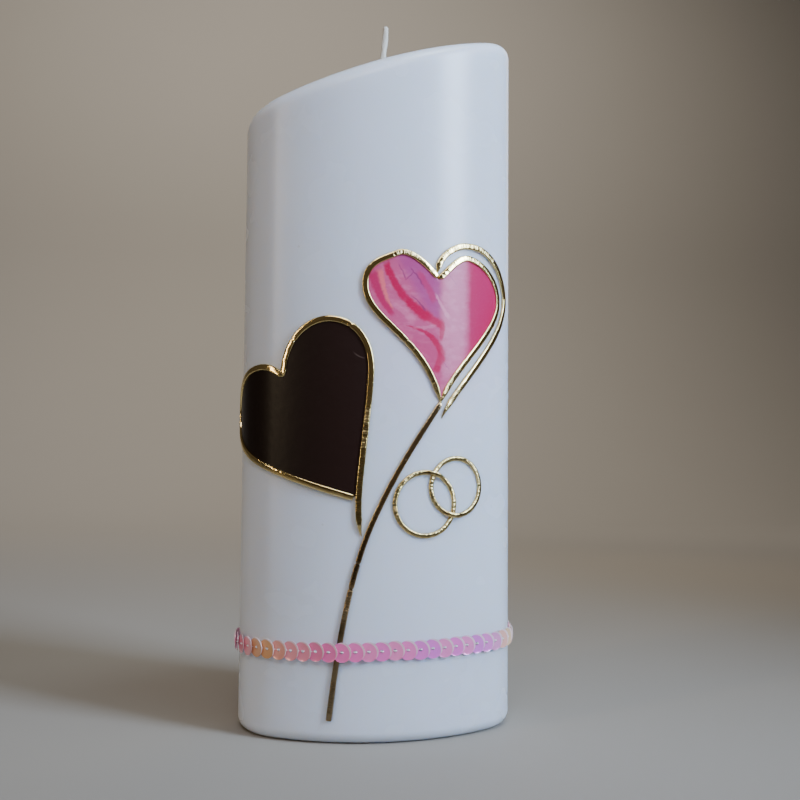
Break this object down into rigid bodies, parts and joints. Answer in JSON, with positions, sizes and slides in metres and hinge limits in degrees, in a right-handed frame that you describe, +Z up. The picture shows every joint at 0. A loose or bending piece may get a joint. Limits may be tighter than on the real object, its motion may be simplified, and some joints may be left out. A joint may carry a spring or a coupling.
{
  "type": "oval pillar wedding candle",
  "caption": "Tall white oval pillar candle with a slanted top, two wax hearts, gold wax strips, interlaced rings and a band of sequins near the foot.",
  "frame": {"origin": "centre of the foot, on the surface that the candle stands on", "axes": "+Z up along the candle and the wick, +X to the right across the width, towards the high side of the slanted top, and the decorated front faces -Y"},
  "size_m": [0.0934, 0.0594, 0.2368],
  "materials": {
    "core_wax": "pressed paraffin wax, seen only on the underside",
    "white_wax": "smooth dipped white wax with a soft satin gloss, slightly see-through at the edges",
    "wick_cotton": "braided cotton wick soaked in wax",
    "tab_steel": "thin pressed tinplate",
    "dark_wax": "dark brown decorating wax sheet, satin, with a few pale specks",
    "pink_wax": "pearly decorating wax sheet, marbled in pink, magenta and lavender",
    "gold_wax": "wax strip faced with bright crinkled gold foil",
    "sequin_film": "iridescent film, glossy, pink to violet and peach",
    "sewing_thread": "white sewing thread",
    "pin_steel": "plated steel"
  },
  "bodies": {
    "root": {"wax_core": "core_wax", "overdip_coat": "white_wax", "wick": "wick_cotton", "wick_tab": "tab_steel", "dark_heart_sheet": "dark_wax", "dark_heart_strip_left": "gold_wax", "dark_heart_strip_right": "gold_wax", "pink_heart_sheet": "pink_wax", "pink_heart_strip_left": "gold_wax", "pink_heart_strip_right": "gold_wax", "echo_strip": "gold_wax", "stem_strip": "gold_wax", "ring_large": "gold_wax", "ring_small": "gold_wax", "sequins": "sequin_film", "sequin_thread": "sewing_thread", "trim_pins": "pin_steel"}
  },
  "joints": []
}
